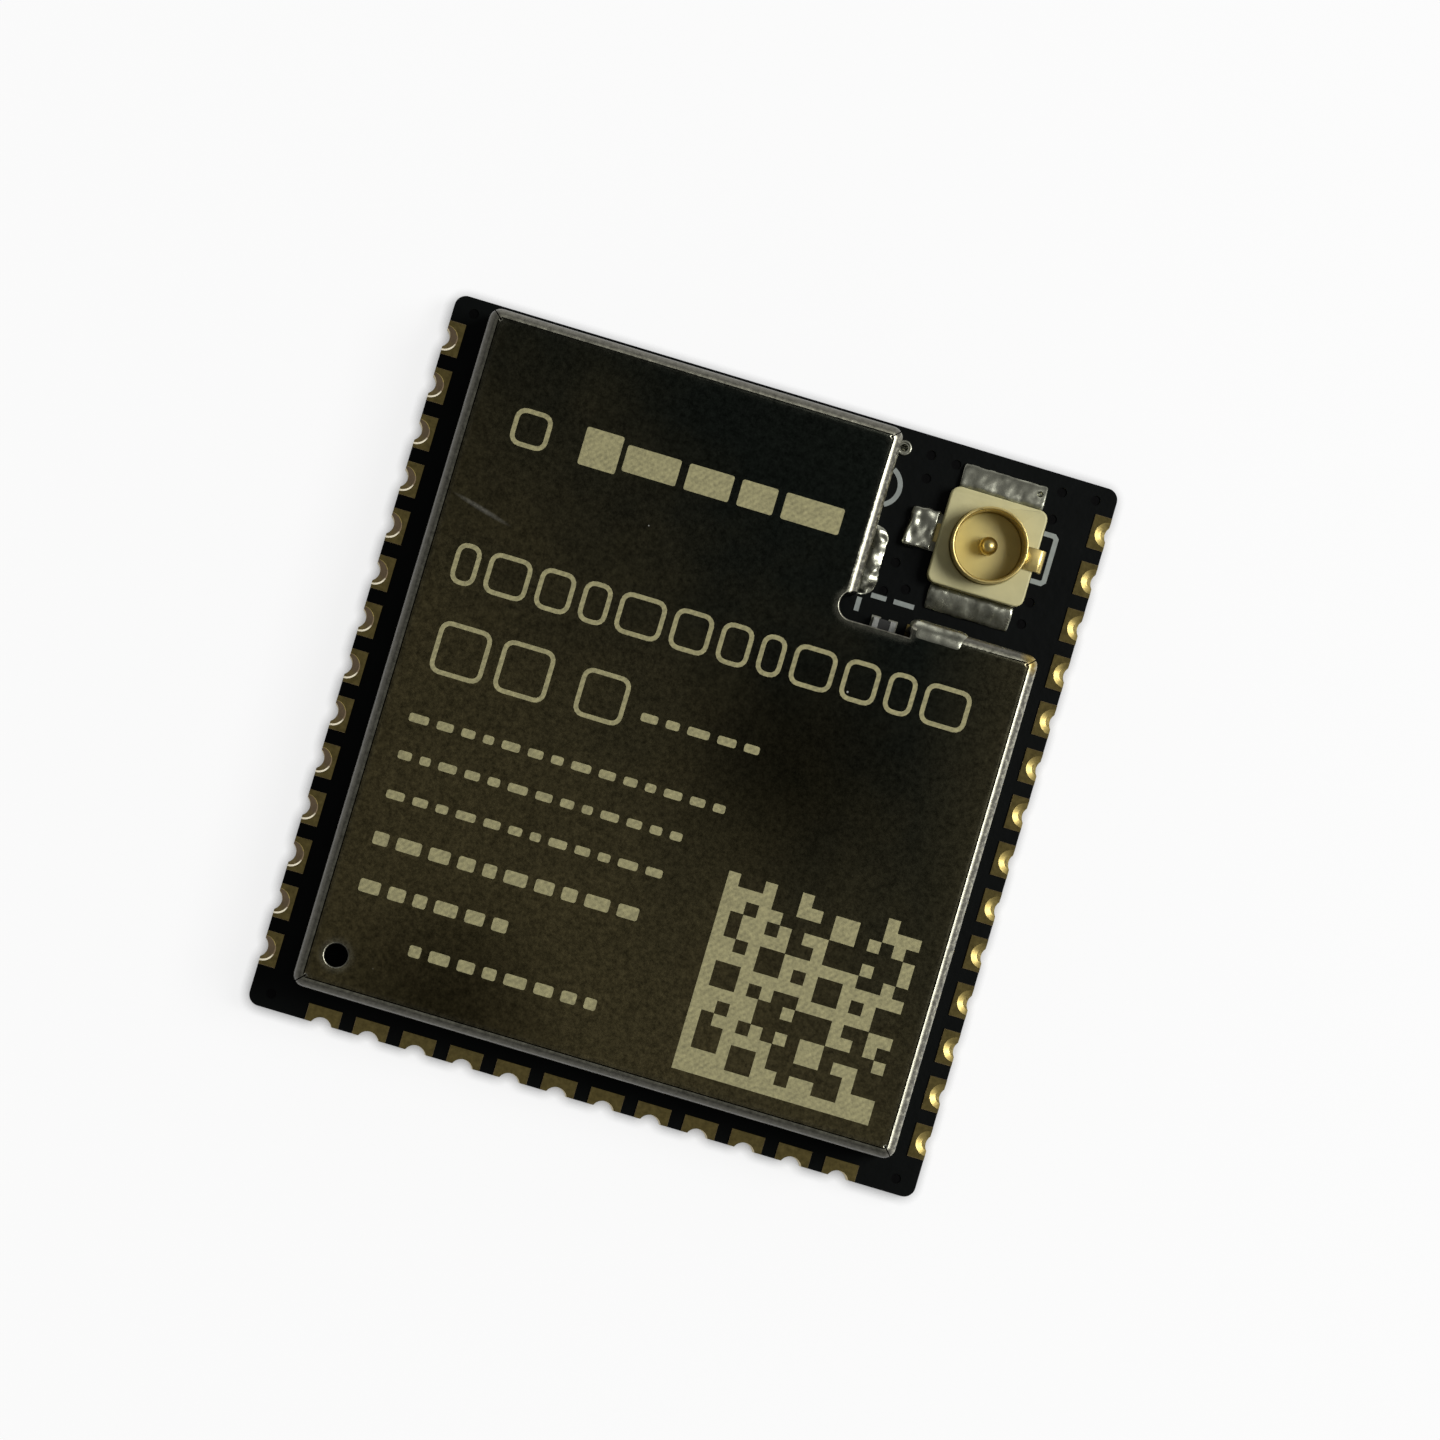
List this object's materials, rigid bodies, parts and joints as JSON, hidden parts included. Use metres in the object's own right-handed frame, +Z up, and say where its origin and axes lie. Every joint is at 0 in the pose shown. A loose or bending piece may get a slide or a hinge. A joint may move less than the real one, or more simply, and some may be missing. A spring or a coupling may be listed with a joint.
{
  "type": "castellated radio module",
  "caption": "Small castellated circuit module with a folded shield can over its parts and a miniature coaxial antenna socket in the can's corner notch.",
  "frame": {"origin": "middle of the underside, on the plane that the module is soldered down on", "axes": "+X across the board towards the side with the antenna socket, +Y along the board towards the end with the antenna socket, +Z up out of the shield can's lid"},
  "size_m": [0.018, 0.0192, 0.0032],
  "materials": {
    "solder_mask": "satin",
    "pad_gold": "satin",
    "shield_sheet": "satin",
    "solder": "satin",
    "socket_polymer": "satin",
    "contact_gold": "polished",
    "package_resin": "matte",
    "lead_tin": "satin",
    "crystal_ceramic": "matte",
    "crystal_metal": "satin",
    "capacitor_ceramic": "matte",
    "inductor_ferrite": "matte"
  },
  "bodies": {
    "root": {"circuit_board": "solder_mask", "castellations_left": "pad_gold", "castellations_bottom": "pad_gold", "castellations_right": "pad_gold", "ground_pads": "pad_gold", "shield_lands": "pad_gold", "socket_lands": "pad_gold", "component_lands": "pad_gold", "test_pad": "solder", "shield_can": "shield_sheet", "shield_solder": "solder", "socket_body": "socket_polymer", "socket_shell": "contact_gold", "socket_pin": "contact_gold", "socket_ground_solder": "solder", "socket_signal_solder": "solder", "processor_package": "package_resin", "processor_leads": "lead_tin", "processor_paddle": "lead_tin", "flash_package": "package_resin", "flash_leads": "lead_tin", "flash_paddle": "lead_tin", "crystal_base": "crystal_ceramic", "crystal_lid": "crystal_metal", "capacitor_bodies": "capacitor_ceramic", "capacitor_ends": "lead_tin", "resistor_bodies": "package_resin", "resistor_ends": "lead_tin", "antenna_chip_bodies": "inductor_ferrite", "antenna_chip_ends": "lead_tin", "inductor_body": "inductor_ferrite", "inductor_ends": "lead_tin"}
  },
  "joints": []
}
